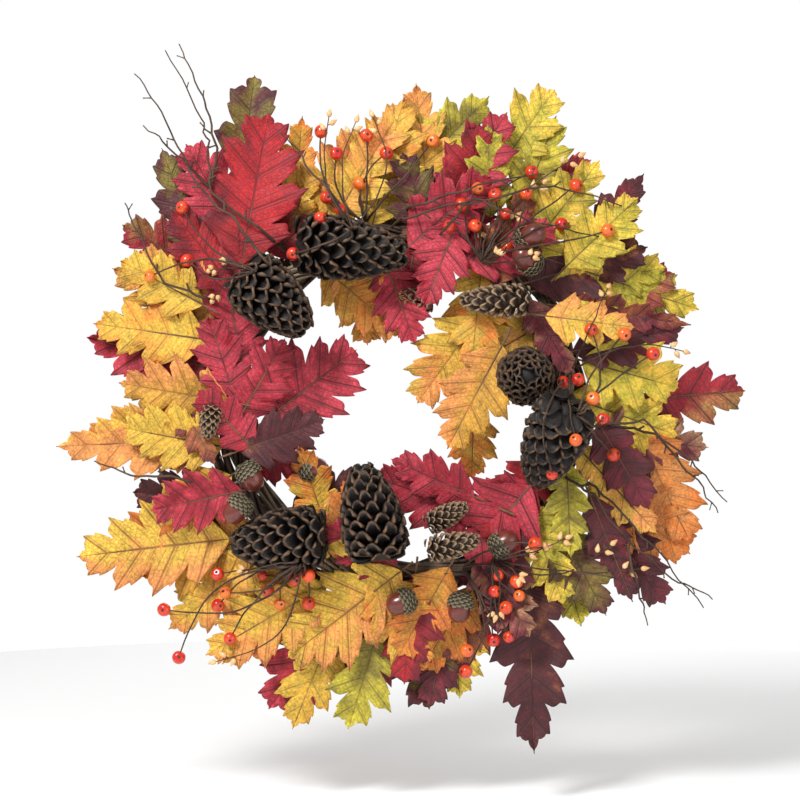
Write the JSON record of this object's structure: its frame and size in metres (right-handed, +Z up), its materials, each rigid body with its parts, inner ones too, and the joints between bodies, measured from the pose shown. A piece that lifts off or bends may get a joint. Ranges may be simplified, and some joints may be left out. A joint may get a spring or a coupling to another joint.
{
  "type": "door wreath",
  "caption": "Harvest door wreath: twisted twig ring with cloth oak leaves, pine cones, acorns, berry sprays and a wire hanger loop.",
  "frame": {"origin": "centre of the hanger clip's flat back pad, level with the middle of the ring's top", "axes": "+Y from the wreath's front to the door, +Z up, +X to the right as the front is seen"},
  "size_m": [0.5949, 0.1299, 0.6072],
  "materials": {
    "twig_ring": "rough bark",
    "bare_twig": "rough bark",
    "binding_wire": "satin",
    "clip_plastic": "matt",
    "loop_steel": "satin",
    "burgundy_leaf": "printed cloth",
    "crimson_leaf": "printed cloth",
    "red_leaf": "printed cloth",
    "olive_leaf": "printed cloth",
    "yellow_leaf": "printed cloth",
    "orange_leaf": "printed cloth",
    "peach_leaf": "printed cloth",
    "green_leaf": "printed cloth",
    "pine_cone": "dry scales",
    "acorn": "gloss",
    "berry": "gloss"
  },
  "bodies": {
    "wreath": {"acorn_1": "acorn", "acorn_2": "acorn", "acorn_3": "acorn", "acorn_4": "acorn", "acorn_5": "acorn", "acorn_6": "acorn", "bare_twig_1": "bare_twig", "bare_twig_2": "bare_twig", "bare_twig_3": "bare_twig", "berry_spray_1": "berry", "berry_spray_2": "berry", "berry_spray_3": "berry", "berry_spray_4": "berry", "berry_spray_5": "berry", "binding_wire_1": "binding_wire", "binding_wire_2": "binding_wire", "burgundy_oak_leaf_1": "burgundy_leaf", "burgundy_oak_leaf_2": "burgundy_leaf", "burgundy_oak_leaf_3": "burgundy_leaf", "crimson_oak_leaf_1": "crimson_leaf", "crimson_oak_leaf_2": "crimson_leaf", "crimson_oak_leaf_3": "crimson_leaf", "crimson_oak_leaf_4": "crimson_leaf", "crimson_oak_leaf_5": "crimson_leaf", "green_oak_leaf_1": "green_leaf", "green_oak_leaf_2": "green_leaf", "green_oak_leaf_3": "green_leaf", "green_oak_leaf_4": "green_leaf", "hanger_clip": "clip_plastic", "large_pine_cone_1": "pine_cone", "large_pine_cone_2": "pine_cone", "large_pine_cone_3": "pine_cone", "large_pine_cone_4": "pine_cone", "large_pine_cone_5": "pine_cone", "large_pine_cone_6": "pine_cone", "olive_oak_leaf_1": "olive_leaf", "orange_oak_leaf_1": "orange_leaf", "orange_oak_leaf_2": "orange_leaf", "orange_oak_leaf_3": "orange_leaf", "peach_oak_leaf_1": "peach_leaf", "peach_oak_leaf_2": "peach_leaf", "red_oak_leaf_1": "red_leaf", "red_oak_leaf_2": "red_leaf", "small_pine_cone_1": "pine_cone", "small_pine_cone_2": "pine_cone", "small_pine_cone_3": "pine_cone", "small_pine_cone_4": "pine_cone", "small_pine_cone_5": "pine_cone", "small_pine_cone_6": "pine_cone", "twig_ring_strand_1": "twig_ring", "twig_ring_strand_2": "twig_ring", "twig_ring_strand_3": "twig_ring", "yellow_oak_leaf_1": "yellow_leaf", "yellow_oak_leaf_2": "yellow_leaf", "yellow_oak_leaf_3": "yellow_leaf", "yellow_oak_leaf_4": "yellow_leaf", "yellow_oak_leaf_5": "yellow_leaf", "yellow_oak_leaf_6": "yellow_leaf", "yellow_oak_leaf_7": "yellow_leaf"},
    "hanger": {"hanger_loop": "loop_steel"}
  },
  "joints": [
    {"name": "hanger_swing", "type": "hinge", "parent": "wreath", "child": "hanger", "pos_m": [0, -0.003, 0.0168], "axis": [1, 0, 0], "range_deg": [0, 170]}
  ]
}
